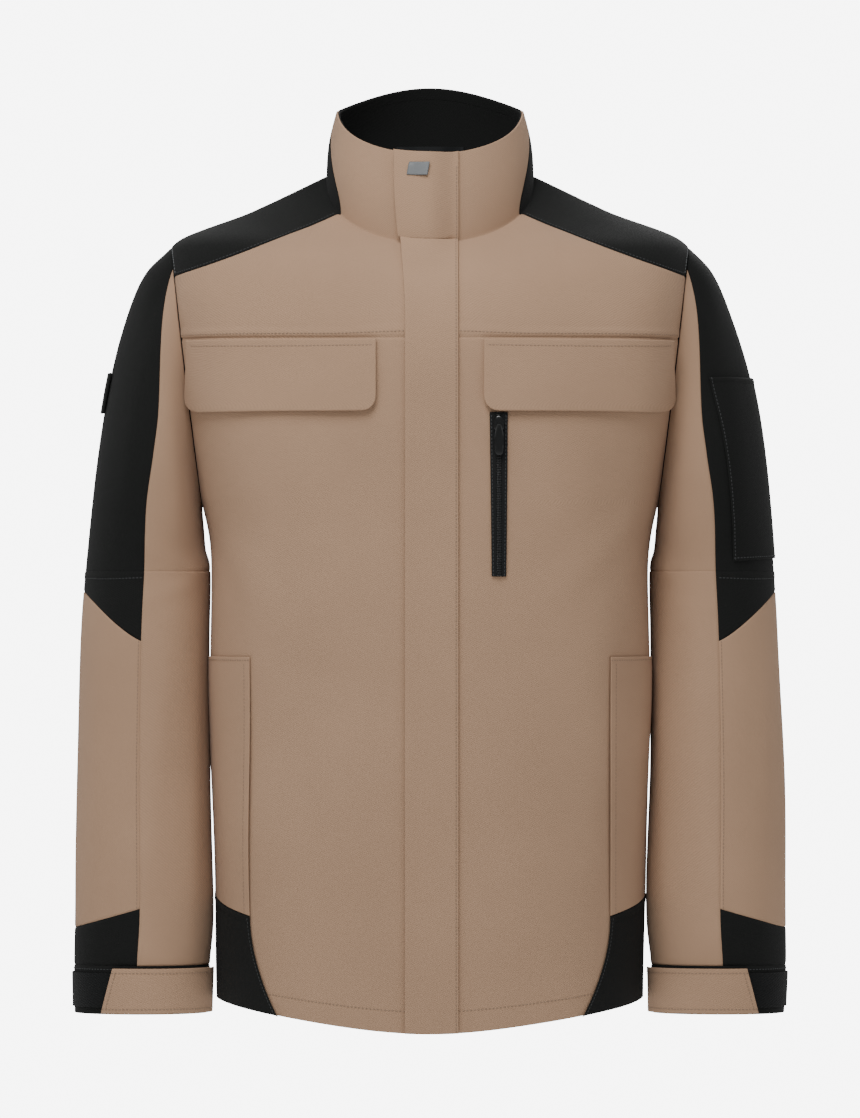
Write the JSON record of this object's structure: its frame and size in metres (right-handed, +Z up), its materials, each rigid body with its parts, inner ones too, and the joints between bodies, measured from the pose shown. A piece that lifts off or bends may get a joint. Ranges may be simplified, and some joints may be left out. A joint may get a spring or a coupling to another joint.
{
  "type": "work jacket",
  "caption": "Stand-collar work jacket in tan and black canvas with a storm placket over the zip, chest flaps, a chest zip pocket, hem corner panels and strapped cuffs.",
  "frame": {"origin": "middle of the hanger loop's lower edge, inside the back neck", "axes": "+Z up, from hem to collar; the front faces -Y; +X is the wearer's left"},
  "size_m": [0.6396, 0.284, 0.8374],
  "materials": {
    "tan_canvas": "woven cotton-polyester canvas, matt",
    "black_canvas": "woven canvas, matt black",
    "lining": "smooth polyester taffeta",
    "hook_loop": "woven loop pile tape",
    "zip_tape": "woven zip tape with moulded coil",
    "zip_metal": "black lacquered die-cast",
    "label_grey": "moulded soft grey label, blank"
  },
  "bodies": {
    "jacket": {"front_panel_left": "tan_canvas", "front_panel_right": "tan_canvas", "chest_yoke_left": "tan_canvas", "chest_yoke_right": "tan_canvas", "back_panel": "tan_canvas", "collar_front_left": "tan_canvas", "collar_front_right": "tan_canvas", "placket_collar_end": "tan_canvas", "hand_pocket_facing_left": "tan_canvas", "hand_pocket_facing_right": "tan_canvas", "shoulder_yoke_left": "black_canvas", "shoulder_yoke_right": "black_canvas", "back_yoke": "black_canvas", "collar_back": "black_canvas", "collar_lining": "black_canvas", "hem_corner_left": "black_canvas", "hem_corner_right": "black_canvas", "lining_front_left": "lining", "lining_front_right": "lining", "lining_back": "lining", "hand_pocket_bag_left": "lining", "hand_pocket_bag_right": "lining", "chest_pocket_bag_left": "lining", "chest_pocket_bag_right": "lining", "hanger_loop": "lining", "zip_half_left": "zip_tape", "zip_half_right": "zip_tape", "chest_zip_tape": "zip_tape", "placket_label": "label_grey"},
    "placket": {"placket": "tan_canvas"},
    "flap_left": {"chest_flap_left": "tan_canvas"},
    "flap_right": {"chest_flap_right": "tan_canvas"},
    "chest_slider": {"chest_zip_slider": "zip_metal"},
    "chest_puller": {"chest_zip_puller": "zip_metal"},
    "main_slider": {"zip_slider": "zip_metal", "zip_puller": "zip_metal"},
    "upper_sleeve_left": {"sleeve_upper_outer_left": "black_canvas", "sleeve_upper_inner_left": "tan_canvas", "lining_upper_sleeve_left": "lining", "sleeve_pocket": "black_canvas"},
    "forearm_left": {"elbow_patch_left": "black_canvas", "forearm_outer_left": "tan_canvas", "forearm_inner_left": "tan_canvas", "cuff_panel_left": "black_canvas", "lining_forearm_left": "lining", "cuff_band_left": "black_canvas", "cuff_loop_tape_left": "hook_loop"},
    "strap_left": {"cuff_strap_left": "tan_canvas"},
    "upper_sleeve_right": {"sleeve_upper_outer_right": "black_canvas", "sleeve_upper_inner_right": "tan_canvas", "lining_upper_sleeve_right": "lining", "sleeve_tab": "black_canvas"},
    "forearm_right": {"elbow_patch_right": "black_canvas", "forearm_outer_right": "tan_canvas", "forearm_inner_right": "tan_canvas", "cuff_panel_right": "black_canvas", "lining_forearm_right": "lining", "cuff_band_right": "black_canvas", "cuff_loop_tape_right": "hook_loop"},
    "strap_right": {"cuff_strap_right": "tan_canvas"}
  },
  "joints": [
    {"name": "placket_open", "type": "hinge", "parent": "jacket", "child": "placket", "pos_m": [0.0255, -0.2016, -0.45], "axis": [-0.0016, 0, 1], "range_deg": [0, 85]},
    {"name": "chest_zip_slide", "type": "slide", "parent": "jacket", "child": "chest_slider", "axis": [0, 0.0086, -1], "range_m": [0, 0.118]},
    {"name": "chest_puller_swing", "type": "hinge", "parent": "chest_slider", "child": "chest_puller", "pos_m": [0.0604, -0.2059, -0.2446], "axis": [-1, 0, 0], "range_deg": [0, 100]},
    {"name": "main_zip_slide", "type": "slide", "parent": "jacket", "child": "main_slider", "axis": [0, -0.1766, -0.9843], "range_m": [0, 0.028]},
    {"name": "flap_lift_left", "type": "hinge", "parent": "jacket", "child": "flap_left", "pos_m": [0.13961, -0.19518, -0.1692], "axis": [-0.9028, -0.43, 0], "range_deg": [0, 100]},
    {"name": "shoulder_raise_left", "type": "hinge", "parent": "jacket", "child": "upper_sleeve_left", "pos_m": [0.2299, -0.0591, -0.083], "axis": [0, -1, 0], "range_deg": [0, 20]},
    {"name": "elbow_bend_left", "type": "hinge", "parent": "upper_sleeve_left", "child": "forearm_left", "pos_m": [0.2515, -0.1253, -0.374], "axis": [-1, 0, 0], "range_deg": [0, 75]},
    {"name": "strap_open_left", "type": "hinge", "parent": "forearm_left", "child": "strap_left", "pos_m": [0.2228, -0.1238, -0.743], "axis": [0, 0, -1], "range_deg": [0, 90]},
    {"name": "flap_lift_right", "type": "hinge", "parent": "jacket", "child": "flap_right", "pos_m": [-0.13961, -0.19518, -0.1692], "axis": [-0.9028, 0.43, 0], "range_deg": [0, 100]},
    {"name": "shoulder_raise_right", "type": "hinge", "parent": "jacket", "child": "upper_sleeve_right", "pos_m": [-0.2299, -0.0591, -0.083], "axis": [0, 1, 0], "range_deg": [0, 20]},
    {"name": "elbow_bend_right", "type": "hinge", "parent": "upper_sleeve_right", "child": "forearm_right", "pos_m": [-0.2515, -0.1253, -0.374], "axis": [-1, 0, 0], "range_deg": [0, 75]},
    {"name": "strap_open_right", "type": "hinge", "parent": "forearm_right", "child": "strap_right", "pos_m": [-0.2228, -0.1238, -0.743], "axis": [0, 0, 1], "range_deg": [0, 90]}
  ]
}
